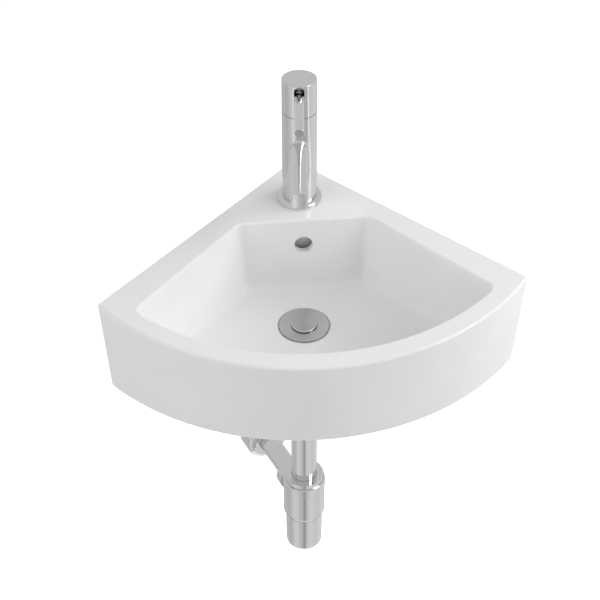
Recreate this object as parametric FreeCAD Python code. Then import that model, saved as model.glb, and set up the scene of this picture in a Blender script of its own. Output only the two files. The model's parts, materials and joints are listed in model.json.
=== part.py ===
import FreeCAD, Part
import math
import os

# Wall-hung basin for the corner of a room, with a single-lever tap, a push waste
# and a bottle trap. Millimetres. The two walls meet on the vertical line through
# the origin and run off along (-1, -1) and (+1, -1); the room is towards -Y.
# z = 0 is the basin's flat deck.

V = FreeCAD.Vector
UP = V(0, 0, 1)
PARTS = "parts"
ROOT2 = math.sqrt(2.0)

# ----------------------------------------------------------------- clearances
running = 0.05                 # radial, shaft in hole
thread = 0.05                  # radial, between threads drawn plain
loose = 0.3                    # radial, pieces that pass each other
through = 1.0                  # cutting tools run this far past a face
pick = 0.01                    # an edge is found by its place to within this
pick_curved = 0.1              # the same where a curved edge's bounds are rough

# ---------------------------------------------------------------- basin sizes
side_length = 350.0            # along each wall, at the deck
basin_height = 138.0
front_centre_top = 80.0        # centre of the curved front, at the deck
front_centre_bottom = 49.0     # the same at the underside
end_inset = 12.0               # the underside is this much shorter on each wall
corner_round = 4.5             # upright edges where front and walls meet
apex_round = 12.0              # upright edge in the room's corner
top_round = 3.0
bottom_round = 8.0

bowl_back_y = 120.0            # rim of the bowl's back wall
bowl_back_half = 77.0          # half the length of that rim
rim_front = 26.0               # deck left in front of the bowl
rim_side_front = 39.5          # deck left beside the bowl, at its front corner
bowl_front_centre = 74.0
waste_x = -7.0                 # the waste stands this far left of the middle
waste_y = 201.0
floor_depth = 95.5             # of the dished floor, at the waste
dish_radius = 1100.0
draft_depth = 92.0             # the drafts below are reached at this depth
back_draft = 13.0
side_draft = 13.0
front_draft = 18.0
bowl_corner_back = 12.0
bowl_corner_front = 12.0
floor_round = 11.5
rim_round = 3.5

bowl_wall = 10.0
wall_plate = 14.0
skirt_wall = 18.0
deck_thickness = 15.0
pad_start = 40.0               # the bolt pads, measured along each wall from the corner
pad_end = 180.0

overflow_depth = 34.0
overflow_radius = 11.0
overflow_wall = 7.0            # ceramic in front of the duct
duct_width = 30.0
duct_gap = 8.0
duct_wall = 6.0
channel_face_depth = 78.0      # the channel takes the bowl's back face down to here
waste_boss_height = 28.5       # the boss reaches this far below the floor
waste_boss_wall = 10.0
waste_hole_play = 2.05         # of the waste's sleeve in its hole
waste_seat_margin = 1.5        # the seat is this much wider than the flange
waste_seat_depth = 1.5

bolt_from_corner = 110.0
bolt_drop = 60.0
bolt_hole_radius = 7.0

# ------------------------------------------------------------------ tap sizes
tap_y = 75.4
tap_turn = 5.5                 # the tap stands turned clockwise, seen from above
tap_hole_radius = 17.5
tap_radius = 20.6
tap_seam = 129.4
base_ring_width = 6.4
base_ring_height = 6.6
base_ring_round = 5.0
base_groove_lip = 1.2
base_groove_width = 3.4
base_groove_depth = 1.6
spigot_play = 1.5              # of the tap's spigot in the basin's hole
spigot_length = 6.0
spout_radius = 10.3
spout_below_seat = 11.0        # the spout's axis, below the cartridge
spout_reach = 108.4
spout_drop = 10.5              # from the spout's axis to its outlet
spout_wall = 3.0
spout_root_round = 2.5
spout_neck = 4.0               # the body's own stub that carries the spout
spout_start = 3.0              # the waterway starts this far ahead of the axis
aerator_wall = 1.4
aerator_depth = 7.0
aerator_drop = 1.6
aerator_lip = 0.9
aerator_chamfer = 0.3
aerator_hole_radius = 1.1
aerator_hole_pitch = 2.85
inlet_radius = 4.5
inlet_depth = 20.0
inlet_x = 7.5
inlet_back = 6.5
water_bore = 3.5
mixed_bore = 5.0
mixed_ahead = 9.0
stud_ahead = 10.0
stud_radius = 4.0
stud_depth = 16.0
stud_length = 52.0
washer_radius = 23.0
washer_opening = 13.0
washer_opening_back = 9.0
rubber_thickness = 3.0
clamp_thickness = 2.5
fixing_nut_wall = 2.5
fixing_nut_height = 6.5

cartridge_depth = 31.4         # of the cartridge's seat below the seam
body_wall = 2.5
housing_wall = 1.6
housing_base = 2.5
housing_roof = 2.4
neck_wall = 2.0
neck_bore = 9.5
neck_above = 7.0               # above the lever's pivot
disc_thickness = 4.0
moving_disc_radius = 10.5
moving_disc_ahead = -1.0
carrier_step = 2.0
carrier_height = 7.5
carrier_gap = 1.0              # under the housing's roof
turret_gap = 2.0               # above the carrier
turret_fit = 0.07
stem_slot_back = 7.8
stem_slot_front = 8.2
pin_radius = 1.5
stem_radius = 3.4
stem_neck = 2.3
stem_neck_top = -6.0
ball_radius = 3.6
ball_arm = 17.0
ball_sunk = 3.0                # the ball's centre, below the carrier's top
nut_lip = 4.0                  # the cartridge nut stands this far into the cap

cap_above = 18.3               # the cap's front top edge, above the lever's height
cap_fall = 4.5                 # its top slopes down this much to the back
cap_wall = 2.4
cap_roof = 3.0
cap_round = 0.8
seam_gap = 0.7
slot_below_top = 1.3

lever_slope = 6.4
lever_radius = 5.7
lever_height = 27.2            # of the lever's axis above the pivot
lever_reach = 104.2            # from the pivot to the lever's end
lever_round = 0.6
hub_front = 9.0
hub_wall = 1.0                 # beside the lever
hub_back_radius = 5.5          # the hub's rounded back, about the stem
hub_below = 9.2                # below the lever's axis
hub_above = 3.8
shield_front = 15.2            # the hub's shield, which closes the slot over the lever
shield_back = 5.2
shield_thickness = 3.6
spigot_thread = 3.0
lever_spigot = 5.0
screw_radius = 2.0
screw_length = 1.8
screw_below = 4.2              # below the lever's axis

# ---------------------------------------------------------------- waste sizes
flange_radius = 30.0
flange_thickness = 2.2
flange_round = 0.9
top_seal = 1.0
sleeve_radius = 20.95
sleeve_wall = 3.45
sleeve_length = 68.0           # below the flange
plug_well_step = 1.3
shelf_width = 3.2
shelf_thickness = 1.5
shelf_depth = 3.0              # below the top of the flange
slot_width = 10.0
slot_height = 10.0
spider_thickness = 4.0
spider_rib = 3.0
spider_hub_margin = 0.7
back_nut_inset = 2.0
back_nut_height = 8.0
lower_seal = 4.0
lower_seal_inset = 3.0
plug_play = 0.7
plug_rise = 2.5                # top of the closed plug above the flange
plug_round = 1.0
plug_boss_wall = 3.0
plug_boss_length = 3.0
plug_seal_thickness = 1.2
spindle_radius = 4.0
spindle_grip = 12.1            # of the spindle in its housing, plug closed
clicker_wall = 4.0
clicker_rim = 1.8
clicker_head_height = 2.0
clicker_length = 27.0
clicker_floor = 2.0

# ----------------------------------------------------------------- trap sizes
pipe_radius = 16.0
pipe_wall = 1.5
pipe_dip = 11.0                # the pipe ends this far below the trap's body
collar_inset = 0.95            # the collar is this much smaller than the sleeve
collar_thickness = 2.0
tail_washer_thickness = 2.0
tail_nut_wall = 4.5
tail_nut_grip = 12.0           # of the tail nut on the sleeve
tail_nut_lip = 3.0

outlet_height = 379.5          # of the outlet's axis, below the deck
trap_nut_above = 33.5          # top of the inlet nut, above that axis
trap_ring_height = 7.0         # its plain ring, over the bead
trap_ring_inset = 2.3
trap_nut_lip = 3.0
trap_nut_wall = 2.95
bead_width = 0.7               # the bead stands this far out of the body
bead_round = 2.0
trap_neck_inset = 8.0          # the neck ends this far below the nut's top
trap_radius = 26.1
trap_wall = 2.5
trap_shoulder = 3.0
trap_body_below = 29.5         # the body's chamfer starts, below the outlet's axis
trap_chamfer_height = 4.5
trap_chamfer_in = 2.4
cup_thread_step = 2.1
cup_thread_wall = 2.2
cup_thread_length = 16.0
cup_inset = 0.4
cup_taper = 0.9
cup_length = 60.2
cup_round = 10.0
cup_wall = 2.2
cup_seal_thickness = 0.8

outlet_turn = 22.0             # the outlet points this far left of straight back
port_step = 3.5                # the port is this much smaller than the pipe
stub_wall = 1.7
stub_grip = 5.0                # of the outlet nut on the stub
socket_depth = 6.0
outlet_nut_gap = 0.5           # between the outlet nut and the inlet nut's bead
outlet_nut_length = 13.0
outlet_nut_wall = 4.45
outlet_nut_lip = 3.5
outlet_pipe_radius = 13.0
outlet_pipe_wall = 1.2
outlet_pipe_end = 165.0
rose_front = 98.5
rose_depth = 28.0
rose_width = 15.0              # the rose's rim, outside the pipe
rose_wall = 1.2
rose_round = 8.0
grip_inset = 1.0               # of the grip ring behind the rose's front plate
grip_width = 5.0
grip_thickness = 3.0

# --------------------------------------- sizes and places that follow from those
# In the basin, waste and trap a height is a depth below the deck, so z = -height.
end_x = side_length / ROOT2
front_radius_top = math.hypot(end_x, end_x - front_centre_top)
foot_x = (side_length - end_inset) / ROOT2
front_radius_bottom = math.hypot(foot_x, foot_x - front_centre_bottom)

waste_hole_radius = sleeve_radius + waste_hole_play
waste_boss_radius = waste_hole_radius + waste_boss_wall
waste_boss_bottom = floor_depth + waste_boss_height
waste_seat_radius = flange_radius + waste_seat_margin
flange_seat = floor_depth + waste_seat_depth - top_seal
flange_top = flange_seat - flange_thickness
sleeve_bore = sleeve_radius - sleeve_wall
sleeve_end = flange_seat + sleeve_length
slot_bottom = waste_boss_bottom - duct_wall
lower_seal_radius = waste_boss_radius - lower_seal_inset
back_nut_radius = lower_seal_radius - back_nut_inset
plug_well_radius = sleeve_bore - plug_well_step
shelf_radius = plug_well_radius - shelf_width
plug_radius = plug_well_radius - plug_play
plug_boss_radius = spindle_radius + plug_boss_wall
clicker_radius = spindle_radius + clicker_wall
clicker_head = clicker_radius + clicker_rim
spider_top = waste_boss_bottom
spider_hub_radius = clicker_head + spider_hub_margin

base_ring_radius = tap_radius + base_ring_width
base_groove_in = tap_radius + base_groove_lip
base_groove_out = base_groove_in + base_groove_width
spigot_radius = tap_hole_radius - spigot_play
cartridge_seat = tap_seam - cartridge_depth
cartridge_bore = tap_radius - body_wall
spout_height = cartridge_seat - spout_below_seat
spout_outlet = spout_height - spout_drop
spout_bore = spout_radius - spout_wall
spout_joint = tap_radius + spout_neck
aerator_radius = spout_radius - aerator_wall
housing_radius = cartridge_bore - loose
neck_radius = neck_bore + neck_wall
carrier_radius = moving_disc_radius - carrier_step
carrier_top = cartridge_seat + housing_base + 2.0 * disc_thickness + carrier_height
housing_top = carrier_top + carrier_gap + housing_roof
turret_bottom = carrier_top + turret_gap
turret_radius = neck_bore - turret_fit
pivot_height = carrier_top - ball_sunk + ball_arm
neck_top = pivot_height + neck_above
cap_front = pivot_height + lever_height + cap_above
cap_back = cap_front - cap_fall
cap_bore = tap_radius - cap_wall
slot_top = cap_front - slot_below_top
hub_half = lever_radius + hub_wall
hub_bottom = lever_height - hub_below
hub_top = lever_height + hub_above
screw_height = lever_height - screw_below

collar_radius = sleeve_radius - collar_inset
tail_nut_radius = sleeve_radius + thread + tail_nut_wall
stub_radius = outlet_pipe_radius + loose + stub_wall
port_radius = outlet_pipe_radius - port_step
trap_nut_top = outlet_height - trap_nut_above
trap_nut_step = trap_nut_top + trap_ring_height
trap_nut_bottom = outlet_height - stub_radius - 2.0 * loose
trap_nut_bead = trap_radius + bead_width
trap_nut_ring = trap_nut_bead - trap_ring_inset
trap_neck_radius = trap_nut_ring - trap_nut_wall - thread
trap_neck_top = trap_nut_top + trap_neck_inset
trap_chamfer_top = outlet_height + trap_body_below
trap_bottom = trap_chamfer_top + trap_chamfer_height
trap_bottom_radius = trap_radius - trap_chamfer_in
cup_thread_radius = trap_bottom_radius - cup_thread_step
cup_radius_top = trap_bottom_radius - cup_inset
cup_radius_bottom = cup_radius_top - cup_taper
cup_bottom = trap_bottom + cup_length
pipe_bottom = trap_bottom + pipe_dip
outlet_nut_start = trap_nut_bead + outlet_nut_gap
outlet_nut_end = outlet_nut_start + outlet_nut_length
outlet_nut_radius = stub_radius + thread + outlet_nut_wall
stub_end = outlet_nut_start + stub_grip
socket_start = stub_end - socket_depth
rose_radius = outlet_pipe_radius + rose_width


# ------------------------------------------------------------ shared helpers
def cylinder(radius, z_low, z_high, x=0.0, y=0.0):
    return Part.makeCylinder(radius, z_high - z_low, V(x, y, z_low), UP)


def ring(radius, bore, z_low, z_high):
    hole = cylinder(bore, z_low - through, z_high + through)
    return cylinder(radius, z_low, z_high).cut(hole)


def box(x_low, x_high, y_low, y_high, z_low, z_high):
    corner = V(x_low, y_low, z_low)
    return Part.makeBox(x_high - x_low, y_high - y_low, z_high - z_low, corner)


def turned(points):
    """A solid of revolution about Z from an outline of (radius, height) points."""
    corners = [V(r, 0, z) for r, z in points]
    face = Part.Face(Part.makePolygon(corners + corners[:1]))
    return face.revolve(V(0, 0, 0), UP, 360.0)


def hexagon(flat, z_low, z_high, x=0.0, y=0.0):
    reach = flat / math.sqrt(3.0)
    angles = [math.radians(60.0 * i) for i in range(7)]
    corners = [V(x + reach * math.cos(a), y + reach * math.sin(a), z_low) for a in angles]
    return Part.Face(Part.makePolygon(corners)).extrude(V(0, 0, z_high - z_low))


def edges_where(shape, test):
    return [edge for edge in shape.Edges if test(edge)]


def flat_at(edge, height):
    bounds = edge.BoundBox
    return abs(bounds.ZMin - height) < pick and abs(bounds.ZMax - height) < pick


def steep(edge):
    """True for an edge that rises more than twice as far as it runs."""
    bounds = edge.BoundBox
    return bounds.ZLength > 2.0 * math.hypot(bounds.XLength, bounds.YLength)


def round_rim(shape, radius, height):
    """Rounds the outermost circle at one height."""
    rims = edges_where(shape, lambda e: flat_at(e, height))
    widest = max(edge.BoundBox.XLength for edge in rims)
    rims = [edge for edge in rims if edge.BoundBox.XLength > widest - pick]
    return shape.makeFillet(radius, rims)


def save(node, shape):
    if len(shape.Solids) == 1:
        shape = shape.Solids[0]
    print(f"{node}: {len(shape.Solids)} solid, {shape.Volume / 1000.0:.2f} cm3, {shape.isValid()}")
    shape.exportStep(os.path.join(PARTS, node + ".step"))


# --------------------------------------------------------------------- basin
def circle_wire(centre_y, radius, z):
    return Part.Wire(Part.Circle(V(0, -centre_y, z), UP, radius).toShape())


def corner_prism(offset, z_low, z_high):
    """The space between the two walls, drawn in from both by the offset."""
    tip = -offset * ROOT2
    far = 2.0 * side_length
    points = [V(0, tip, z_low), V(far, tip - far, z_low), V(-far, tip - far, z_low)]
    face = Part.Face(Part.makePolygon(points + points[:1]))
    return face.extrude(V(0, 0, z_high - z_low))


def outer_body():
    top = circle_wire(front_centre_top, front_radius_top, 0.0)
    bottom = circle_wire(front_centre_bottom, front_radius_bottom, -basin_height)
    front = Part.makeLoft([bottom, top], True, True)
    body = front.common(corner_prism(0.0, -basin_height, 0.0))
    ends = [e for e in edges_where(body, steep) if e.BoundBox.YMax < -end_x / 2.0]
    body = body.makeFillet(corner_round, ends)
    apex = [e for e in edges_where(body, steep) if e.BoundBox.YMax > -through]
    body = body.makeFillet(apex_round, apex)
    body = body.makeFillet(top_round, edges_where(body, lambda e: flat_at(e, 0.0)))
    low = edges_where(body, lambda e: flat_at(e, -basin_height))
    return body.makeFillet(bottom_round, low)


def side_line(grow, depth_share):
    """Point and direction of the bowl's right side at one depth, seen from above."""
    corner = front_corner(rim_side_front)
    start = V(bowl_back_half, -bowl_back_y, 0)
    along = (corner - start).normalize()
    inward = V(along.y, -along.x, 0)
    return start + inward * (side_draft * depth_share - grow), along


def front_corner(wall_distance):
    """Where a line parallel to the right wall meets the bowl's front circle."""
    radius = front_centre_top + front_radius_top - rim_front - bowl_front_centre
    shift = wall_distance * ROOT2 - bowl_front_centre
    x = (-shift + math.sqrt(2.0 * radius ** 2 - shift ** 2)) / 2.0
    return V(x, -x - wall_distance * ROOT2, 0)


def bowl_outline(grow, z):
    """Back-right and far-right corners of the bowl's straight walls at a height."""
    share = -z / draft_depth
    point, along = side_line(grow, share)
    back = -bowl_back_y - back_draft * share + grow
    near = point + along * ((back - point.y) / along.y)
    far = point + along * ((-side_length * 2.0 - point.y) / along.y)
    return near, far


def bowl_tool(grow, z_low, z_high):
    """The bowl's hollow, or its outer skin when it is grown by the wall."""
    faces = []
    loops = []
    for z in (z_low, z_high):
        near, far = bowl_outline(grow, z)
        loops.append([
            V(near.x, near.y, z), V(far.x, far.y, z), V(-far.x, far.y, z), V(-near.x, near.y, z)])
    for i in range(4):
        j = (i + 1) % 4
        corners = [loops[0][i], loops[0][j], loops[1][j], loops[1][i]]
        faces.append(Part.Face(Part.makePolygon(corners + corners[:1])))
    for loop in loops:
        faces.append(Part.Face(Part.makePolygon(loop + loop[:1])))
    straight = Part.Solid(Part.Shell(faces))
    if straight.Volume < 0:
        straight.reverse()
    rim = front_centre_top + front_radius_top - rim_front - bowl_front_centre
    radii = [rim + grow + front_draft * z / draft_depth for z in (z_low, z_high)]
    height = z_high - z_low
    cone = Part.makeCone(radii[0], radii[1], height, V(0, -bowl_front_centre, z_low), UP)
    dish = dish_radius + grow
    ball = Part.makeSphere(dish, V(waste_x, -waste_y, dish_radius - floor_depth))
    return straight.common(cone).common(ball)


def bowl_hollow():
    tool = bowl_tool(0.0, -floor_depth - bowl_wall, top_round + through)
    upright = edges_where(tool, lambda e: e.BoundBox.ZLength > floor_depth / 2.0)
    middle = -(bowl_back_y + end_x) / 2.0
    back = [edge for edge in upright if edge.BoundBox.YMin > middle]
    tool = tool.makeFillet(bowl_corner_back, back)
    upright = edges_where(tool, lambda e: e.BoundBox.ZLength > floor_depth / 2.0)
    front = [e for e in upright if e.BoundBox.YMax < middle and abs(e.BoundBox.XMax) > through]
    tool = tool.makeFillet(bowl_corner_front, front)
    floor = edges_where(tool, lambda e: e.BoundBox.ZMax < -floor_depth / 2.0)
    return tool.makeFillet(floor_round, floor)


def underside_hollow():
    space = corner_prism(wall_plate, -basin_height - through, -deck_thickness)
    low = circle_wire(front_centre_bottom, front_radius_bottom - skirt_wall,
                      -basin_height - through)
    high = circle_wire(front_centre_bottom, front_radius_bottom - skirt_wall, 0.0)
    space = space.common(Part.makeLoft([low, high], True, True))
    space = space.cut(bowl_tool(bowl_wall, -basin_height, 0.0))
    space = space.cut(duct_block())
    return space.cut(cylinder(waste_boss_radius, -waste_boss_bottom, 0.0, waste_x, -waste_y))


def duct_back():
    """Y of the duct's front face, behind the bowl's back wall."""
    return -bowl_back_y - back_draft * overflow_depth / draft_depth + overflow_wall


def duct_block():
    half = duct_width / 2.0 + duct_wall
    back = duct_back() + duct_gap + duct_wall
    drop = box(-half, half, -bowl_back_y - 2.0 * back_draft, back, -waste_boss_bottom, 0.0)
    run = box(-half, half, -waste_y, back, -waste_boss_bottom, -floor_depth)
    return drop.fuse(run)


def duct_space():
    half = duct_width / 2.0
    top = -overflow_depth + overflow_radius + through
    floor = -waste_boss_bottom + duct_wall
    front = duct_back()
    drop = box(-half, half, front, front + duct_gap, floor, top)
    run = box(-half, half, -waste_y, front + duct_gap, floor, floor + duct_gap)
    length = duct_gap / 2.0 + overflow_wall + back_draft + through
    start = V(0, front + duct_gap / 2.0, -overflow_depth)
    mouth = Part.makeCylinder(overflow_radius, length, start, V(0, -1, 0))
    return drop.fuse(run).fuse(mouth)


def bolt_bore(side):
    reach = bolt_from_corner / ROOT2
    out = V(side, 1, 0).normalize()
    start = V(side * reach, -reach, -bolt_drop) + out * through
    return Part.makeCylinder(bolt_hole_radius, wall_plate + 2.0 * through, start, out * -1.0)


def basin():
    body = outer_body()
    body = body.cut(bowl_hollow())
    rim = edges_where(body, lambda e: flat_at(e, 0.0) and inside_rim(e))
    body = body.makeFillet(rim_round, rim)
    body = body.cut(underside_hollow())
    body = body.cut(duct_space())
    body = body.cut(cylinder(tap_hole_radius, -deck_thickness - through, through, 0.0, -tap_y))
    hole = cylinder(waste_hole_radius, -waste_boss_bottom - through, 0.0, waste_x, -waste_y)
    seat_z = -floor_depth - waste_seat_depth
    seat = cylinder(waste_seat_radius, seat_z, -floor_depth / 2.0, waste_x, -waste_y)
    body = body.cut(hole.fuse(seat))
    for side in (-1.0, 1.0):
        body = body.cut(bolt_bore(side))
    return body


def bolt_pad(side):
    """The block of space that holds one wall side's pad, below the deck."""
    near = side * pad_start
    far = side * pad_end
    pad = box(min(near, far), max(near, far), -wall_plate, through,
              -basin_height - through, -deck_thickness)
    pad.rotate(V(0, 0, 0), UP, -45.0 * side)
    return pad


def channel_block():
    """The block of space that holds the overflow's duct behind the bowl."""
    half = duct_width / 2.0 + duct_wall
    back = duct_back() + duct_gap + duct_wall + through
    top = -deck_thickness - through
    low = -waste_boss_bottom - through
    face = box(-half, half, -bowl_back_y - 2.0 * back_draft, back, -channel_face_depth, top)
    return face.fuse(box(-half, half, duct_back() - duct_wall, back, low, top))


def basin_pieces():
    """The one casting, with the bolt pads and the overflow's duct as pieces of their own."""
    body = basin()
    left = bolt_pad(-1.0)
    right = bolt_pad(1.0)
    channel = channel_block()
    return {
        "basin": body.cut(left).cut(right).cut(channel),
        "bolt_pad_left": body.common(left),
        "bolt_pad_right": body.common(right),
        "overflow_channel": body.common(channel),
    }


def inside_rim(edge):
    """True for edges of the bowl's opening, well inside the deck's outline."""
    middle = edge.CenterOfMass
    if middle.y > -bowl_back_y - through and abs(middle.x) < bowl_back_half:
        return True
    wall_distance = (-middle.y - abs(middle.x)) / ROOT2
    front = math.hypot(middle.x, middle.y + front_centre_top)
    return wall_distance > top_round + through and front < front_radius_top - top_round - through


# ----------------------------------------------------------------------- tap
# Built on its own axis with the spout towards -Y, then turned and set in place.
def place_tap(shape):
    shape.rotate(V(0, 0, 0), UP, -tap_turn)
    shape.translate(V(0, -tap_y, 0))
    return shape


def forward_cylinder(radius, start, end, z):
    return Part.makeCylinder(radius, end - start, V(0, -start, z), V(0, -1, 0))


def mitre(side):
    """Half of space either side of the spout's 45 degree joint."""
    size = 4.0 * spout_reach
    block = Part.makeBox(size, size, size, V(-size / 2.0, -size / 2.0, 0 if side > 0 else -size))
    block.rotate(V(0, 0, 0), V(1, 0, 0), -45.0)
    block.translate(V(0, -spout_reach, spout_height))
    return block


def spout(radius, start, z_end):
    level = forward_cylinder(radius, start, spout_reach + 2.0 * radius, spout_height)
    drop = cylinder(radius, z_end, spout_height + 2.0 * radius, 0.0, -spout_reach)
    return level.common(mitre(1.0)).fuse(drop.common(mitre(-1.0)))


def tap_casting():
    """The tap's body and spout together."""
    body = cylinder(tap_radius, 0.0, tap_seam)
    body = body.fuse(spout(spout_radius, 0.0, spout_outlet))
    joint = edges_where(body, lambda e: -tap_radius - through < e.BoundBox.YMin
                        and e.BoundBox.YMax < 0.0
                        and abs(e.BoundBox.ZMin - spout_height + spout_radius) < pick_curved)
    body = body.makeFillet(spout_root_round, joint)
    body = body.fuse(cylinder(spigot_radius, -spigot_length, 0.0))
    body = body.cut(cylinder(cartridge_bore, cartridge_seat, tap_seam + through))
    for side in (-1.0, 1.0):
        x = side * inlet_x
        body = body.cut(cylinder(water_bore, 0.0, cartridge_seat + through, x, inlet_back))
        deep = inlet_depth - spigot_length
        body = body.cut(cylinder(inlet_radius, -spigot_length - through, deep, x, inlet_back))
    body = body.cut(cylinder(mixed_bore, spout_height, cartridge_seat + through, 0.0, -mixed_ahead))
    body = body.cut(spout(spout_bore, spout_start, spout_outlet - through))
    tip = cylinder(aerator_radius + thread, spout_outlet - through,
                   spout_outlet + aerator_depth, 0.0, -spout_reach)
    body = body.cut(tip)
    stud_hole = cylinder(stud_radius + thread, -spigot_length - through,
                         stud_depth - spigot_length, 0.0, -stud_ahead)
    return body.cut(stud_hole)


def spout_space():
    """All that lies ahead of the joint between the body's stub and the spout."""
    far = spout_reach + 2.0 * spout_radius
    return box(-tap_radius, tap_radius, -far, -spout_joint, 0.0, tap_seam)


def tap_base_ring():
    foot = ring(base_ring_radius, tap_radius + thread, 0.0, base_ring_height)
    foot = round_rim(foot, base_ring_round, base_ring_height)
    return foot.cut(ring(base_groove_out, base_groove_in, -through, base_groove_depth))


def horseshoe(z_low, z_high):
    plate = cylinder(washer_radius, z_low, z_high)
    opening = cylinder(washer_opening, z_low - through, z_high + through, 0.0, washer_opening_back)
    gap = box(-washer_opening, washer_opening, washer_opening_back, 2.0 * washer_radius,
              z_low - through, z_high + through)
    stud = cylinder(stud_radius + loose, z_low - through, z_high + through, 0.0, -stud_ahead)
    return plate.cut(opening).cut(gap).cut(stud)


def cartridge_ports(shape, z_low, z_high):
    for side in (-1.0, 1.0):
        shape = shape.cut(cylinder(water_bore, z_low, z_high, side * inlet_x, inlet_back))
    return shape.cut(cylinder(mixed_bore, z_low, z_high, 0.0, -mixed_ahead))


def cartridge_housing():
    inner = housing_radius - housing_wall
    roof = housing_top - housing_roof
    floor = cartridge_seat + housing_base
    shape = turned([
        (0.0, cartridge_seat), (housing_radius, cartridge_seat), (housing_radius, housing_top),
        (neck_radius, housing_top), (neck_radius, neck_top), (neck_bore, neck_top),
        (neck_bore, roof), (inner, roof), (inner, floor), (0.0, floor)])
    return cartridge_ports(shape, cartridge_seat - through, floor + through)


def disc_levels():
    low = cartridge_seat + housing_base
    return low, low + disc_thickness, low + 2.0 * disc_thickness


def cartridge_fixed_disc():
    low, middle, _ = disc_levels()
    shape = cylinder(housing_radius - housing_wall - loose, low, middle)
    return cartridge_ports(shape, low - through, middle + through)


def socket_ahead():
    return ball_arm * math.sin(math.radians(lever_slope))


def cartridge_moving_disc():
    _, middle, high = disc_levels()
    y = -moving_disc_ahead
    shape = cylinder(moving_disc_radius, middle, high, 0.0, y)
    shape = shape.fuse(cylinder(carrier_radius, high, carrier_top, 0.0, y))
    mixing = cylinder(moving_disc_radius / 2.0, middle - through, middle + disc_thickness / 2.0,
                      0.0, y)
    ball_low = pivot_height - ball_arm - ball_radius - loose
    socket = cylinder(ball_radius + loose, ball_low, carrier_top + through, 0.0, -socket_ahead())
    return shape.cut(mixing).cut(socket)


def pivot_cylinder(radius, half_length):
    return Part.makeCylinder(radius, 2.0 * half_length, V(-half_length, 0, pivot_height), V(1, 0, 0))


def cartridge_turret():
    shape = cylinder(turret_radius, turret_bottom, neck_top)
    half = stem_radius + loose
    slot = box(-half, half, -stem_slot_front, stem_slot_back,
               turret_bottom - through, neck_top + through)
    return shape.cut(slot).cut(pivot_cylinder(pin_radius, 2.0 * turret_radius))


def lever_frame(shape):
    """Sets a piece drawn level about the pivot to the lever's slope at rest."""
    shape.translate(V(0, 0, pivot_height))
    shape.rotate(V(0, 0, pivot_height), V(-1, 0, 0), lever_slope)
    return shape


def cartridge_stem():
    shape = cylinder(stem_radius, stem_neck_top, hub_top - through)
    shape = shape.fuse(cylinder(stem_neck, -ball_arm, stem_neck_top))
    shape = shape.fuse(Part.makeSphere(ball_radius, V(0, 0, -ball_arm)))
    shape = lever_frame(shape)
    return shape.cut(pivot_cylinder(pin_radius + running, 2.0 * stem_radius))


def cartridge_nut():
    bore = neck_radius + loose
    shape = ring(cartridge_bore - thread, bore, housing_top, tap_seam)
    return shape.fuse(ring(cap_bore - loose, bore, tap_seam, tap_seam + nut_lip))


def below_slope(shape, drop):
    """Cuts off what stands above the cap's slanted top, less a drop."""
    size = 4.0 * tap_radius
    slope = math.degrees(math.atan2(cap_front - cap_back, 2.0 * tap_radius))
    block = Part.makeBox(size, size, size, V(-size / 2.0, -size / 2.0, 0))
    block.rotate(V(0, 0, 0), V(-1, 0, 0), slope)
    block.translate(V(0, 0, (cap_front + cap_back) / 2.0 - drop))
    return shape.cut(block)


def rest_axis_height(ahead):
    """Height of the lever's axis at rest, some way ahead of the tap's axis."""
    slope = math.radians(lever_slope)
    return pivot_height + lever_height / math.cos(slope) + ahead * math.tan(slope)


def handle_cap():
    low = tap_seam + seam_gap
    high = cap_front + through
    shell = below_slope(cylinder(tap_radius, low, high), 0.0)
    top = [e for e in shell.Edges if e.BoundBox.ZMin > cap_back - through]
    shell = shell.makeFillet(cap_round, top)
    inside = below_slope(cylinder(cap_bore, low - through, high), cap_roof)
    shell = shell.cut(inside)
    half = lever_radius + loose
    start = hub_front
    axis = rest_axis_height(cap_bore)
    slot = box(-half, half, -tap_radius - through, -start, axis, slot_top - half)
    slot = slot.fuse(forward_cylinder(half, start, tap_radius + through, slot_top - half))
    way = cylinder(half, 0.0, lever_reach)
    way.rotate(V(0, 0, 0), V(1, 0, 0), 90.0)
    way.translate(V(0, 0, lever_height))
    way = lever_frame(way).common(box(-half, half, -tap_radius - through, -start, 0.0, high))
    return shell.cut(slot.fuse(way))


def lever_hub():
    shape = box(-hub_half, hub_half, -hub_front, 0.0, hub_bottom, hub_top)
    shape = shape.fuse(cylinder(hub_back_radius, hub_bottom, hub_top))
    shape = shape.cut(cylinder(stem_radius + thread, hub_bottom - through, hub_top - through))
    shape = shape.cut(forward_cylinder(spigot_thread + thread, stem_radius, hub_front + through,
                                       lever_height))
    hole = forward_cylinder(screw_radius + thread, -hub_back_radius - through, 0.0, screw_height)
    shape = shape.cut(hole)
    low = lever_height + lever_radius + loose
    shield = box(-lever_radius, lever_radius, -shield_front, -shield_back,
                 low, low + shield_thickness)
    post = box(-lever_radius, lever_radius, -hub_front, -shield_back, hub_top - loose, low)
    return lever_frame(shape.fuse(shield).fuse(post))


def lever_rod():
    shape = forward_cylinder(lever_radius, hub_front, lever_reach, lever_height)
    tip = [e for e in shape.Edges if e.BoundBox.YMax < -lever_reach + pick]
    shape = shape.makeFillet(lever_round, tip)
    thread_end = forward_cylinder(spigot_thread, hub_front - lever_spigot, hub_front, lever_height)
    return lever_frame(shape.fuse(thread_end))


def hub_screw():
    start = -hub_back_radius
    return lever_frame(forward_cylinder(screw_radius, start, start + screw_length, screw_height))


def aerator_housing():
    low = spout_outlet - aerator_drop
    shape = turned([
        (aerator_radius - aerator_lip, low), (aerator_radius - aerator_chamfer, low),
        (aerator_radius, low + aerator_chamfer),
        (aerator_radius, spout_outlet + aerator_depth - through),
        (aerator_radius - aerator_lip, spout_outlet + aerator_depth - through)])
    shape.translate(V(0, -spout_reach, 0))
    return shape


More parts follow.
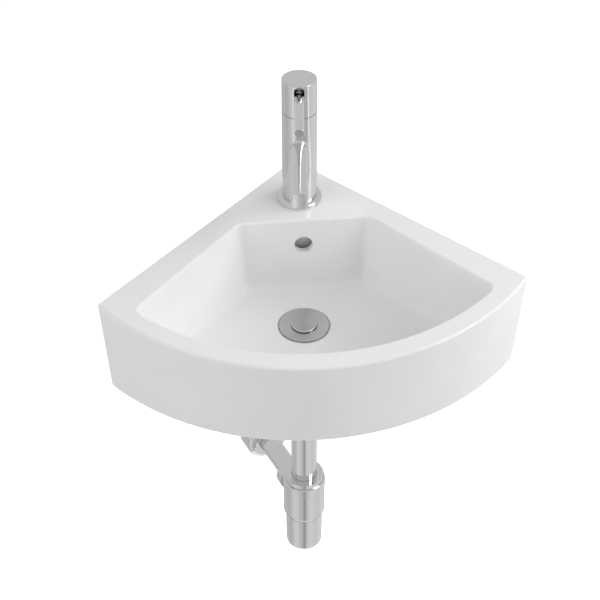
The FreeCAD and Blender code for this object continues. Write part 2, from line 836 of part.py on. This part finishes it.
def aerator_insert():
    low = spout_outlet - aerator_drop + aerator_lip
    high = spout_outlet + aerator_depth - 2.0 * through
    radius = aerator_radius - aerator_lip - thread
    shape = cylinder(radius, low, high)
    for row, count in enumerate((1, 6, 12)):
        for i in range(count):
            turn = math.radians(360.0 * i / count)
            x = row * aerator_hole_pitch * math.cos(turn)
            y = row * aerator_hole_pitch * math.sin(turn)
            shape = shape.cut(cylinder(aerator_hole_radius, low - through, high + through, x, y))
    shape.translate(V(0, -spout_reach, 0))
    return shape


def tap_pieces():
    under = -deck_thickness
    clamp_low = under - rubber_thickness - clamp_thickness
    nut_low = clamp_low - fixing_nut_height
    stud_top = stud_depth - spigot_length - through
    nut = hexagon(2.0 * (stud_radius + fixing_nut_wall), nut_low, clamp_low, 0.0, -stud_ahead)
    nut = nut.cut(cylinder(stud_radius + thread, nut_low - through, clamp_low + through,
                           0.0, -stud_ahead))
    casting = tap_casting()
    return {
        "tap_body": casting.cut(spout_space()),
        "tap_spout": casting.common(spout_space()),
        "tap_base_ring": tap_base_ring(),
        "tap_base_seal": ring(base_groove_out, base_groove_in, 0.0, base_groove_depth),
        "tap_stud": cylinder(stud_radius, stud_top - stud_length, stud_top, 0.0, -stud_ahead),
        "tap_rubber_washer": horseshoe(under - rubber_thickness, under),
        "tap_clamp_washer": horseshoe(clamp_low, under - rubber_thickness),
        "tap_fixing_nut": nut,
        "cartridge_housing": cartridge_housing(),
        "cartridge_fixed_disc": cartridge_fixed_disc(),
        "cartridge_moving_disc": cartridge_moving_disc(),
        "cartridge_turret": cartridge_turret(),
        "cartridge_stem": cartridge_stem(),
        "stem_pin": pivot_cylinder(pin_radius, turret_radius - loose),
        "cartridge_nut": cartridge_nut(),
        "handle_cap": handle_cap(),
        "lever_hub": lever_hub(),
        "lever_rod": lever_rod(),
        "hub_screw": hub_screw(),
        "aerator_housing": aerator_housing(),
        "aerator_insert": aerator_insert(),
    }


# --------------------------------------------------------------------- waste
def waste_body():
    shelf = flange_top + shelf_depth
    shape = turned([
        (shelf_radius, -shelf - shelf_thickness), (shelf_radius, -shelf),
        (plug_well_radius, -shelf), (plug_well_radius, -flange_top),
        (flange_radius, -flange_top), (flange_radius, -flange_seat),
        (sleeve_radius, -flange_seat), (sleeve_radius, -sleeve_end),
        (sleeve_bore, -sleeve_end), (sleeve_bore, -shelf - shelf_thickness)])
    shape = round_rim(shape, flange_round, -flange_top)
    spider_low = -spider_top - spider_thickness
    hub = ring(spider_hub_radius, clicker_radius + thread, spider_low, -spider_top)
    for i in range(3):
        rib = box(spider_hub_radius - through, sleeve_bore + through, -spider_rib / 2.0,
                  spider_rib / 2.0, spider_low, -spider_top)
        rib.rotate(V(0, 0, 0), UP, 120.0 * i + 90.0)
        hub = hub.fuse(rib)
    shape = shape.fuse(hub)
    slot = box(-sleeve_radius - through, sleeve_radius + through, -slot_width / 2.0,
               slot_width / 2.0, -slot_bottom, -slot_bottom + slot_height)
    for turn in (45.0, 135.0):
        cut = slot.copy()
        cut.rotate(V(0, 0, 0), UP, turn)
        shape = shape.cut(cut)
    return shape


def tail_nut():
    low = -sleeve_end - tail_washer_thickness - collar_thickness - tail_nut_lip
    lip = low + tail_nut_lip
    return turned([
        (pipe_radius + loose, low), (tail_nut_radius, low),
        (tail_nut_radius, -sleeve_end + tail_nut_grip),
        (sleeve_radius + thread, -sleeve_end + tail_nut_grip), (sleeve_radius + thread, lip),
        (pipe_radius + loose, lip)])


def tail_pipe():
    top = -sleeve_end - tail_washer_thickness
    return turned([
        (pipe_radius - pipe_wall, -pipe_bottom), (pipe_radius, -pipe_bottom),
        (pipe_radius, top - collar_thickness), (collar_radius, top - collar_thickness),
        (collar_radius, top), (pipe_radius - pipe_wall, top)])


def waste_plug():
    top = -flange_top + plug_rise
    seal_top = -flange_top - shelf_depth + plug_seal_thickness
    disc = cylinder(plug_radius, seal_top, top)
    disc = round_rim(disc, plug_round, top)
    boss = cylinder(plug_boss_radius, seal_top - plug_boss_length, seal_top)
    hole = cylinder(spindle_radius + thread, seal_top - plug_boss_length - through,
                    seal_top - plug_boss_length / 2.0)
    return disc.fuse(boss).cut(hole)


def clicker_housing():
    head_low = -spider_top
    head_top = head_low + clicker_head_height
    low = head_top - clicker_length
    shape = cylinder(clicker_radius, low, head_low).fuse(
        cylinder(clicker_head, head_low, head_top))
    return shape.cut(cylinder(spindle_radius + running, low + clicker_floor, head_top + through))


def waste_pieces():
    shelf = -flange_top - shelf_depth
    seal_bore = plug_boss_radius + thread
    spindle_top = shelf + plug_seal_thickness - plug_boss_length / 2.0
    spindle_bottom = -spider_top + clicker_head_height - spindle_grip
    lower = -waste_boss_bottom
    nut_top = lower - lower_seal
    collar_top = -sleeve_end
    return {
        "waste_body": waste_body(),
        "waste_top_seal": ring(flange_radius - through, waste_hole_radius,
                               -flange_seat - top_seal, -flange_seat),
        "waste_lower_seal": ring(lower_seal_radius, sleeve_radius + thread, nut_top, lower),
        "waste_back_nut": ring(back_nut_radius, sleeve_radius + thread,
                               nut_top - back_nut_height, nut_top),
        "waste_plug": waste_plug(),
        "plug_seal": ring(plug_radius - loose, seal_bore, shelf, shelf + plug_seal_thickness),
        "plug_spindle": cylinder(spindle_radius, spindle_bottom, spindle_top),
        "clicker_housing": clicker_housing(),
        "tail_nut": tail_nut(),
        "tail_washer": ring(collar_radius, pipe_radius, collar_top - tail_washer_thickness,
                            collar_top),
        "tail_pipe": tail_pipe(),
    }


# ---------------------------------------------------------------------- trap
def trap_inlet_nut():
    bore = trap_neck_radius + thread
    hole = pipe_radius + loose
    lip = -trap_nut_top - trap_nut_lip
    shape = turned([
        (hole, -trap_nut_top), (trap_nut_ring, -trap_nut_top), (trap_nut_ring, -trap_nut_step),
        (trap_nut_bead, -trap_nut_step), (trap_nut_bead, -trap_nut_bottom),
        (bore, -trap_nut_bottom), (bore, lip), (hole, lip)])
    shape = round_rim(shape, bead_round, -trap_nut_step)
    return round_rim(shape, bead_round / 2.0, -trap_nut_bottom)


def outlet_place(shape):
    """Turns a piece drawn up the Z axis to lie along the trap's outlet."""
    shape.rotate(V(0, 0, 0), V(1, 0, 0), -90.0)
    shape.rotate(V(0, 0, 0), UP, outlet_turn)
    shape.translate(V(0, 0, -outlet_height))
    return shape


def trap_body():
    top = -trap_nut_bottom - loose
    neck = trap_neck_radius
    chamber = trap_radius - trap_wall
    chamber_top = top - trap_shoulder
    thread_bore = cup_thread_radius + thread
    thread_top = -trap_bottom + cup_thread_length
    shape = turned([
        (pipe_radius + loose, -trap_neck_top), (neck, -trap_neck_top), (neck, top),
        (trap_radius, top), (trap_radius, -trap_chamfer_top), (trap_bottom_radius, -trap_bottom),
        (thread_bore, -trap_bottom), (thread_bore, thread_top), (chamber, thread_top),
        (chamber, chamber_top), (pipe_radius + loose, chamber_top)])
    stub = outlet_place(cylinder(stub_radius, chamber - through, stub_end))
    shape = shape.fuse(stub.cut(cylinder(chamber, -trap_bottom, -trap_neck_top)))
    shape = shape.cut(outlet_place(cylinder(port_radius, pipe_radius, stub_end + through)))
    socket = cylinder(outlet_pipe_radius + loose, socket_start, stub_end + through)
    return shape.cut(outlet_place(socket))


def trap_cup():
    seal_low = -trap_bottom - cup_seal_thickness
    outer = turned([
        (0.0, -cup_bottom), (cup_radius_bottom, -cup_bottom), (cup_radius_top, seal_low),
        (0.0, seal_low)])
    outer = round_rim(outer, cup_round, -cup_bottom)
    thread_top = -trap_bottom + cup_thread_length - through
    outer = outer.fuse(cylinder(cup_thread_radius, seal_low, thread_top))
    inner_low = -cup_bottom + cup_wall
    inner = turned([
        (0.0, inner_low), (cup_radius_bottom - cup_wall, inner_low),
        (cup_radius_top - cup_wall, seal_low - cup_wall),
        (cup_thread_radius - cup_thread_wall, seal_low), (cup_thread_radius - cup_thread_wall, 0.0),
        (0.0, 0.0)])
    inner = round_rim(inner, cup_round - cup_wall, inner_low)
    return outer.cut(inner)


def outlet_nut():
    lip = outlet_nut_end - outlet_nut_lip
    hole = outlet_pipe_radius + loose
    shape = turned([
        (stub_radius + thread, outlet_nut_start), (outlet_nut_radius, outlet_nut_start),
        (outlet_nut_radius, outlet_nut_end), (hole, outlet_nut_end), (hole, lip),
        (stub_radius + thread, lip)])
    return round_rim(shape, bead_round / 2.0, outlet_nut_end)


def wall_flange():
    back = rose_front + rose_depth
    face = rose_front + rose_wall
    hole = outlet_pipe_radius + loose
    shape = round_rim(cylinder(rose_radius, rose_front, back), rose_round, rose_front)
    inner = cylinder(rose_radius - rose_wall, face, back + through)
    shape = shape.cut(round_rim(inner, rose_round - rose_wall, face))
    shape = shape.cut(cylinder(hole, rose_front - through, face + through))
    return shape.fuse(ring(rose_radius - rose_round, hole, face, face + grip_inset))


def trap_pieces():
    seal_low = -trap_neck_top
    seal_high = -trap_nut_top - trap_nut_lip
    cup_seal_out = trap_bottom_radius - loose
    stub_seal_end = outlet_nut_end - outlet_nut_lip
    grip_start = rose_front + rose_wall + grip_inset
    pipe_in = outlet_pipe_radius - outlet_pipe_wall
    return {
        "trap_inlet_nut": trap_inlet_nut(),
        "trap_inlet_seal": ring(trap_neck_radius - loose, pipe_radius, seal_low, seal_high),
        "trap_body": trap_body(),
        "trap_cup": trap_cup(),
        "trap_cup_seal": ring(cup_seal_out, cup_thread_radius + thread,
                              -trap_bottom - cup_seal_thickness, -trap_bottom),
        "outlet_nut": outlet_place(outlet_nut()),
        "outlet_seal": outlet_place(ring(stub_radius - loose, outlet_pipe_radius, stub_end,
                                         stub_seal_end)),
        "outlet_pipe": outlet_place(ring(outlet_pipe_radius, pipe_in, socket_start,
                                         outlet_pipe_end)),
        "wall_flange": outlet_place(wall_flange()),
        "flange_grip_ring": outlet_place(ring(outlet_pipe_radius + grip_thickness,
                                              outlet_pipe_radius, grip_start,
                                              grip_start + grip_width)),
    }


def main():
    os.makedirs(PARTS, exist_ok=True)
    for node, shape in basin_pieces().items():
        save(node, shape)
    for node, shape in tap_pieces().items():
        save(node, place_tap(shape))
    for pieces in (waste_pieces(), trap_pieces()):
        for node, shape in pieces.items():
            shape.translate(V(waste_x, -waste_y, 0))
            save(node, shape)


main()
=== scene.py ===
# %% [markdown]
# Corner basin with its tap, waste and trap.
# The basin hangs in the corner of a small room, so its plan is a quarter fan. All the
# pieces that carry, seal or move come from the construction model, at their real size.
# This file gives them their finishes and adds the camera and the light.

# %% Load the construction model
import json
import math

import bpy
from mathutils import Matrix, Vector


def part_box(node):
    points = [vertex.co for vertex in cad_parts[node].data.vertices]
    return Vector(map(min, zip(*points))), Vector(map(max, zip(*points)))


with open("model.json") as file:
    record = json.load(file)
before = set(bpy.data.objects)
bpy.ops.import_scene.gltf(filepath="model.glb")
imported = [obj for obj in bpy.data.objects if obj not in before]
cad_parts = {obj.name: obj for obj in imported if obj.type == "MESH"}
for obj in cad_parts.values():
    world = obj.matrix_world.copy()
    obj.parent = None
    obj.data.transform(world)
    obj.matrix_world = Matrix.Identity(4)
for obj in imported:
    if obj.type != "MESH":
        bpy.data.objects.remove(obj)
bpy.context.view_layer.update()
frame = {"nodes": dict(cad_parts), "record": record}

nodes = frame["nodes"]
print("pieces in the model:", len(nodes))

# %% [markdown]
# Camera. A product shot taken with a long lens from above, a little to the left of the
# basin's middle. The lens is about 120 mm on a 36 mm sensor, which keeps the upright
# tap and trap nearly parallel. The angles and distances were fitted to the straight
# wall sides and the curved front, so they are given here as plain numbers.

# %% Camera
picture_size = 600
focal_pixels = 2000.0
sensor_mm = 36.0
nearest_seen = 0.05
farthest_seen = 50.0
camera_turn = math.radians(5.53)      # to the left of the middle
camera_tilt = math.radians(41.19)     # below the horizon
camera_roll = math.radians(-0.11)
corner_right = -0.0080                # the room corner in the camera's own axes, metres
corner_down = -0.1736
corner_ahead = 2.4658


def camera_axes(turn, tilt, roll):
    """Right, down and forward of the camera, in the model's frame."""
    right = Vector((math.cos(turn), -math.sin(turn), 0.0))
    ahead = Vector((math.sin(turn) * math.cos(tilt), math.cos(turn) * math.cos(tilt), -math.sin(tilt)))
    down = ahead.cross(right)
    rolled_right = right * math.cos(roll) - down * math.sin(roll)
    rolled_down = right * math.sin(roll) + down * math.cos(roll)
    return rolled_right, rolled_down, ahead


def make_camera():
    right, down, ahead = camera_axes(camera_turn, camera_tilt, camera_roll)
    place = -(right * corner_right + down * corner_down + ahead * corner_ahead)
    data = bpy.data.cameras.new("photo_camera")
    data.sensor_width = sensor_mm
    data.lens = focal_pixels / picture_size * sensor_mm
    data.clip_start = nearest_seen
    data.clip_end = farthest_seen
    camera = bpy.data.objects.new("photo_camera", data)
    camera.matrix_world = Matrix((
        (right.x, -down.x, -ahead.x, place.x),
        (right.y, -down.y, -ahead.y, place.y),
        (right.z, -down.z, -ahead.z, place.z),
        (0.0, 0.0, 0.0, 1.0)))
    bpy.context.scene.collection.objects.link(camera)
    bpy.context.scene.camera = camera
    return camera


camera = make_camera()
bpy.context.scene.view_settings.view_transform = "Standard"
print("lens %.0f mm, camera at %s" % (camera.data.lens, tuple(round(v, 3) for v in camera.location)))

# %% [markdown]
# A few helpers for materials. Each finish is a Principled shader with nodes for colour,
# roughness and bump. The textures read the object's own coordinates, which here are
# metres in the model's frame, so their scale is the real one on every piece.

# %% Material helpers
white = (1.0, 1.0, 1.0, 1.0)
black = (0.0, 0.0, 0.0, 1.0)
tint_dark_until = 0.3          # of a 0 to 1 signal
tint_light_from = 0.7


def new_finish(name):
    finish = bpy.data.materials.new(name)
    finish.use_nodes = True
    shader = finish.node_tree.nodes["Principled BSDF"]
    return finish, finish.node_tree, shader


def add(tree, kind, **values):
    node = tree.nodes.new(kind)
    for key, value in values.items():
        setattr(node, key, value)
    return node


def place_texture(tree, kind, scale, origin=(0.0, 0.0, 0.0), stretch=(1.0, 1.0, 1.0), **values):
    """A texture in metres, moved so that its middle lies at the origin given."""
    coordinates = add(tree, "ShaderNodeTexCoord")
    mapping = add(tree, "ShaderNodeMapping", vector_type="POINT")
    mapping.inputs["Scale"].default_value = stretch
    mapping.inputs["Location"].default_value = [-o * s for o, s in zip(origin, stretch)]
    texture = add(tree, kind, **values)
    texture.inputs["Scale"].default_value = scale
    tree.links.new(coordinates.outputs["Object"], mapping.inputs["Vector"])
    tree.links.new(mapping.outputs["Vector"], texture.inputs["Vector"])
    return texture


def grade(tree, source, low, high):
    """Turns a 0 to 1 signal into a range of numbers."""
    node = add(tree, "ShaderNodeMapRange")
    node.inputs["To Min"].default_value = low
    node.inputs["To Max"].default_value = high
    tree.links.new(source, node.inputs["Value"])
    return node.outputs["Result"]


def tint(tree, source, dark, light):
    """Turns a 0 to 1 signal into a blend of two colours."""
    ramp = add(tree, "ShaderNodeValToRGB")
    ramp.color_ramp.elements[0].position = tint_dark_until
    ramp.color_ramp.elements[1].position = tint_light_from
    ramp.color_ramp.elements[0].color = (*dark, 1.0)
    ramp.color_ramp.elements[1].color = (*light, 1.0)
    tree.links.new(source, ramp.inputs["Fac"])
    return ramp.outputs["Color"]


def bump(tree, shader, height, strength, distance, under=None):
    node = add(tree, "ShaderNodeBump")
    node.inputs["Strength"].default_value = strength
    node.inputs["Distance"].default_value = distance
    tree.links.new(height, node.inputs["Height"])
    if under is not None:
        tree.links.new(under, node.inputs["Normal"])
    tree.links.new(node.outputs["Normal"], shader.inputs["Normal"])
    return node.outputs["Normal"]


def dress(tree, shader, signal, colours, roughness):
    """Lets the colour and the roughness follow one 0 to 1 signal."""
    tree.links.new(tint(tree, signal, *colours), shader.inputs["Base Color"])
    tree.links.new(grade(tree, signal, *roughness), shader.inputs["Roughness"])


def noise_finish(name, scale, colours, roughness, relief,
                 detail=2.0, stretch=(1.0, 1.0, 1.0), metallic=0.0):
    """A finish whose colour, roughness and relief all follow one noise."""
    finish, tree, shader = new_finish(name)
    noise = place_texture(tree, "ShaderNodeTexNoise", scale, stretch=stretch)
    noise.inputs["Detail"].default_value = detail
    dress(tree, shader, noise.outputs["Fac"], colours, roughness)
    bump(tree, shader, noise.outputs["Fac"], *relief)
    shader.inputs["Metallic"].default_value = metallic
    return finish


def mirror_signal(tree, path):
    """One where polished metal or glass looks, and zero elsewhere."""
    node = add(tree, "ShaderNodeMath", operation="MAXIMUM")
    tree.links.new(path.outputs["Is Glossy Ray"], node.inputs[0])
    tree.links.new(path.outputs["Is Transmission Ray"], node.inputs[1])
    return node.outputs["Value"]


print("helpers ready: each noise finish has its colour, roughness and relief")

# %% [markdown]
# White glaze. The basin is fireclay under about half a millimetre of clear glossy
# glaze. Fired glaze is never optically flat: it pulls into a slow ripple, some
# centimetres long and a few hundredths of a millimetre high, and a finer orange peel.
# Two noise bumps give those, and a slow noise lets the white vary a little.

# %% White glaze


def white_glaze():
    finish, tree, shader = new_finish("white_glaze")
    cloud = place_texture(tree, "ShaderNodeTexNoise", 9.0)
    cloud.inputs["Detail"].default_value = 3.0
    dress(tree, shader, cloud.outputs["Fac"],
          ((0.852, 0.852, 0.852), (0.872, 0.872, 0.872)), (0.10, 0.16))
    ripple = place_texture(tree, "ShaderNodeTexNoise", 28.0)
    ripple.inputs["Detail"].default_value = 1.0
    peel = place_texture(tree, "ShaderNodeTexNoise", 420.0)
    slow = bump(tree, shader, ripple.outputs["Fac"], 0.12, 0.0004)
    bump(tree, shader, peel.outputs["Fac"], 0.04, 0.00008, under=slow)
    shader.inputs["IOR"].default_value = 1.52
    return finish


# %% [markdown]
# Chrome. Polished plating over brass. Its colour is all reflection, so the shader is
# fully metallic with a low roughness. Wiping leaves very fine hairlines, which a
# stretched noise gives to the roughness and, hardly visible, to the bump.

# %% Chrome


def polished_chrome():
    return noise_finish("polished_chrome", 55.0, ((0.718, 0.718, 0.722), (0.738, 0.738, 0.742)),
                        (0.03, 0.07), (0.02, 0.0002), detail=5.0, stretch=(1.0, 1.0, 0.12),
                        metallic=1.0)


# %% [markdown]
# Satin chrome. The waste's flange was faced on a lathe before plating, so fine rings
# run round its middle. A ring-shaped wave, centred on the waste, gives those rings. At
# this scale they lie 2 mm apart.

# %% Satin chrome
turned_ring_scale = 160.0


def satin_chrome(middle):
    finish, tree, shader = new_finish("satin_chrome")
    rings = place_texture(tree, "ShaderNodeTexWave", turned_ring_scale, origin=middle,
                          wave_type="RINGS", rings_direction="Z")
    rings.inputs["Distortion"].default_value = 0.4
    rings.inputs["Detail"].default_value = 2.0
    dress(tree, shader, rings.outputs["Fac"],
          ((0.40, 0.40, 0.405), (0.80, 0.80, 0.805)), (0.14, 0.26))
    bump(tree, shader, rings.outputs["Fac"], 0.25, 0.0002)
    shader.inputs["Metallic"].default_value = 1.0
    return finish


# %% [markdown]
# The hidden pieces have finishes too, because they show when the part is taken apart:
# turned brass, zinc-plated steel, moulded rubber, moulded plastic and lapped ceramic.

# %% Finishes of the hidden pieces


def turned_brass():
    return noise_finish("turned_brass", 90.0, ((0.58, 0.43, 0.19), (0.72, 0.56, 0.28)),
                        (0.24, 0.38), (0.1, 0.0001), stretch=(0.1, 0.1, 6.0), metallic=1.0)


def plated_steel():
    return noise_finish("plated_steel", 700.0, ((0.42, 0.42, 0.43), (0.56, 0.56, 0.56)),
                        (0.3, 0.45), (0.08, 0.00005), detail=4.0, metallic=1.0)


def black_rubber():
    return noise_finish("black_rubber", 320.0, ((0.018, 0.018, 0.019), (0.045, 0.045, 0.047)),
                        (0.6, 0.8), (0.2, 0.0001), detail=6.0)


def moulded_plastic():
    return noise_finish("moulded_plastic", 900.0, ((0.60, 0.60, 0.57), (0.68, 0.68, 0.65)),
                        (0.42, 0.55), (0.1, 0.00004))


def dark_plastic():
    return noise_finish("dark_plastic", 900.0, ((0.03, 0.03, 0.031), (0.055, 0.055, 0.057)),
                        (0.38, 0.5), (0.1, 0.00004))


def lapped_ceramic():
    return noise_finish("lapped_ceramic", 1500.0, ((0.82, 0.80, 0.74), (0.88, 0.87, 0.82)),
                        (0.18, 0.28), (0.05, 0.00002))


# %% [markdown]
# Each piece of the model names the slot its finish belongs to, so the finishes are
# handed out by slot.

# %% Hand out the finishes
waste_low, waste_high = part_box("waste_body")
waste_middle = ((waste_low.x + waste_high.x) / 2, (waste_low.y + waste_high.y) / 2, 0.0)

finishes = {
    "glazed_ceramic": white_glaze(),
    "chrome": polished_chrome(),
    "satin_chrome": satin_chrome(waste_middle),
    "brass": turned_brass(),
    "steel": plated_steel(),
    "rubber": black_rubber(),
    "plastic": moulded_plastic(),
    "dark_plastic": dark_plastic(),
    "disc_ceramic": lapped_ceramic(),
}

for part in frame["record"]["subparts"]:
    piece = nodes[part["node"]]
    piece.data.materials.clear()
    piece.data.materials.append(finishes[part["material_slot"]])
print("finishes handed out:", len(finishes))

# %% [markdown]
# Floor. The basin hangs with its deck 0.85 m above the floor. The floor is a pale
# plain sheet. To the camera and in reflections it adds a little light of its own, so
# that it reads as white paper, and it still keeps the basin's soft shadow.

# %% Floor
deck_above_floor = 0.85
floor_half = 6.0
floor_glow_in_metal = 0.35
floor_glow_to_camera = 0.6


def pale_floor():
    finish, tree, shader = new_finish("pale_floor")
    grain = place_texture(tree, "ShaderNodeTexNoise", 4.0)
    colour = tint(tree, grain.outputs["Fac"], (0.83, 0.83, 0.83), (0.85, 0.85, 0.85))
    tree.links.new(colour, shader.inputs["Base Color"])
    shader.inputs["Roughness"].default_value = 0.9
    shader.inputs["Emission Color"].default_value = white
    path = add(tree, "ShaderNodeLightPath")
    in_metal = grade(tree, mirror_signal(tree, path), 0.0, floor_glow_in_metal)
    to_camera = grade(tree, path.outputs["Is Camera Ray"], 0.0, floor_glow_to_camera)
    glow = add(tree, "ShaderNodeMath", operation="ADD")
    tree.links.new(in_metal, glow.inputs[0])
    tree.links.new(to_camera, glow.inputs[1])
    tree.links.new(glow.outputs["Value"], shader.inputs["Emission Strength"])
    return finish


def make_floor():
    corners = [(-floor_half, -floor_half), (floor_half, -floor_half),
               (floor_half, floor_half), (-floor_half, floor_half)]
    mesh = bpy.data.meshes.new("floor")
    mesh.from_pydata([(x, y, -deck_above_floor) for x, y in corners], [], [(0, 1, 2, 3)])
    mesh.materials.append(pale_floor())
    floor = bpy.data.objects.new("floor", mesh)
    bpy.context.scene.collection.objects.link(floor)


make_floor()
print("floor %.2f m below the deck" % deck_above_floor)

# %% [markdown]
# Grey cards. Upright chrome seen from above mirrors only the floor round it, and a bare
# white floor makes it look like plain grey plastic. In a studio, grey paper is laid
# round the object, just out of the picture, to draw the streaks. Here the cards are one
# flat ring that glows with a turn of greys. Only mirrors see it, so it paints the
# chrome's streaks of reflection, and it casts no light or shadow on anything else.

# %% Grey cards: painted reflections in the chrome
card_ring_inner = 0.22
card_ring_outer = 2.6
card_ring_back = -0.16         # the ring's middle, in front of the room's corner
card_above_floor = 0.002
card_steps = 72
# The glow of the ring by angle. These greys are painted streaks of reflection in the chrome.
painted_streak_greys = [          # degrees round from the camera's side, to the right; brightness
    (-180, 0.50), (-140, 0.55), (-118, 0.61), (-98, 0.54), (-72, 0.62), (-62, 0.73),
    (-50, 0.78), (-34, 0.76), (-22, 0.64), (-9, 0.58), (-4, 0.48), (2, 0.37), (8, 0.47),
    (14, 0.66), (30, 0.80), (50, 0.78), (64, 0.74), (80, 0.72), (98, 0.78), (104, 0.78),
    (130, 0.80), (150, 0.60), (180, 0.50)]


# The ring is not lit paper. It glows in the greys listed above and only mirrors see it, so it paints
# the chrome's streaks.
def painted_reflection_glow():
    finish, tree, shader = new_finish("painted_reflection_glow")
    coordinates = add(tree, "ShaderNodeTexCoord")
    turn = add(tree, "ShaderNodeTexGradient", gradient_type="RADIAL")
    greys = add(tree, "ShaderNodeValToRGB")
    stops = greys.color_ramp.elements
    while len(stops) < len(painted_streak_greys):
        stops.new(0.5)
    for stop, (degrees, grey) in zip(stops, painted_streak_greys):
        stop.position = degrees / 360.0 + 0.5
        stop.color = (grey, grey, grey, 1.0)
    tree.links.new(coordinates.outputs["Object"], turn.inputs["Vector"])
    tree.links.new(turn.outputs["Fac"], greys.inputs["Fac"])
    tree.links.new(greys.outputs["Color"], shader.inputs["Emission Color"])
    shader.inputs["Emission Strength"].default_value = 1.0
    shader.inputs["Base Color"].default_value = black
    shader.inputs["Specular IOR Level"].default_value = 0.0
    return finish


def make_cards():
    points = []
    for radius in (card_ring_inner, card_ring_outer):
        for step in range(card_steps):
            angle = 2.0 * math.pi * step / card_steps
            points.append((radius * math.cos(angle), radius * math.sin(angle), 0.0))
    faces = []
    for step in range(card_steps):
        after = (step + 1) % card_steps
        faces.append((step, card_steps + step, card_steps + after, after))
    mesh = bpy.data.meshes.new("grey_cards")
    mesh.from_pydata(points, [], faces)
    mesh.materials.append(painted_reflection_glow())
    cards = bpy.data.objects.new("grey_cards", mesh)
    cards.location = (0.0, card_ring_back, card_above_floor - deck_above_floor)
    cards.rotation_euler = (0.0, 0.0, -math.pi / 2.0 - camera_turn)
    cards.visible_camera = False
    cards.visible_diffuse = False
    cards.visible_shadow = False
    bpy.context.scene.collection.objects.link(cards)


make_cards()
print("grey cards from %.2f to %.2f m" % (card_ring_inner, card_ring_outer))

# %% [markdown]
# Even light. Nearly all the light is even and white, from all round, and weaker from
# straight above. The studio's walls that polished metal mirrors are a light grey, and
# the camera sees plain white beyond the floor's edge.

# %% World light
sky_level = 0.94               # brightness of the light from the horizon
sky_zenith = 0.1               # and from straight above
mirrored_level = 0.66          # the studio's walls, as polished metal shows them
seen_level = 1.0               # and as the camera sees them


def make_world():
    world = bpy.data.worlds.new("studio")
    world.use_nodes = True
    tree = world.node_tree
    even = tree.nodes["Background"]
    even.inputs["Color"].default_value = white
    place = add(tree, "ShaderNodeTexCoord")
    height = add(tree, "ShaderNodeSeparateXYZ")
    tree.links.new(place.outputs["Generated"], height.inputs["Vector"])
    tree.links.new(grade(tree, height.outputs["Z"], sky_level, sky_zenith), even.inputs["Strength"])
    mirrored = add(tree, "ShaderNodeBackground")
    mirrored.inputs["Color"].default_value = white
    mirrored.inputs["Strength"].default_value = mirrored_level
    seen = add(tree, "ShaderNodeBackground")
    seen.inputs["Color"].default_value = white
    seen.inputs["Strength"].default_value = seen_level
    path = add(tree, "ShaderNodeLightPath")
    first = add(tree, "ShaderNodeMixShader")
    tree.links.new(mirror_signal(tree, path), first.inputs["Fac"])
    tree.links.new(even.outputs["Background"], first.inputs[1])
    tree.links.new(mirrored.outputs["Background"], first.inputs[2])
    second = add(tree, "ShaderNodeMixShader")
    tree.links.new(path.outputs["Is Camera Ray"], second.inputs["Fac"])
    tree.links.new(first.outputs["Shader"], second.inputs[1])
    tree.links.new(seen.outputs["Background"], second.inputs[2])
    tree.links.new(second.outputs["Shader"], tree.nodes["World Output"].inputs["Surface"])
    bpy.context.scene.world = world


make_world()
print("even light %.2f at the horizon, %.2f from above" % (sky_level, sky_zenith))

# %% [markdown]
# Lamps. Four large soft lamps add direction. One on the right brightens the bowl's left
# wall and the right end of the curved front. One on the left does the same for the left
# side of the deck. One hangs above the front, and one behind on the right lights the
# bowl's front wall. Only the one on the right shows in the metal, as a bright streak.

# %% Lamps
basin_middle = (0.0, -0.22, -0.05)
lamp_size = 1.3
lamps = [                      # name, place, watts, shows in mirrors
    ("side_lamp", (2.05, -1.15, 1.3), 20.0, True),
    ("top_lamp", (0.0, -0.6, 2.2), 7.8, False),
    ("left_lamp", (-2.1, -0.8, 1.2), 13.5, False),
    ("back_lamp", (2.2, 0.5, 1.2), 26.0, False)]


def soft_lamp(name, place, watts, in_mirrors):
    data = bpy.data.lights.new(name, "AREA")
    data.shape = "RECTANGLE"
    data.size = lamp_size
    data.size_y = lamp_size
    data.energy = watts
    lamp = bpy.data.objects.new(name, data)
    lamp.location = place
    lamp.rotation_mode = "QUATERNION"
    lamp.rotation_quaternion = (Vector(basin_middle) - Vector(place)).to_track_quat("-Z", "Y")
    lamp.visible_camera = False
    lamp.visible_glossy = in_mirrors
    bpy.context.scene.collection.objects.link(lamp)


for lamp_values in lamps:
    soft_lamp(*lamp_values)
print("lamps:", len(lamps))
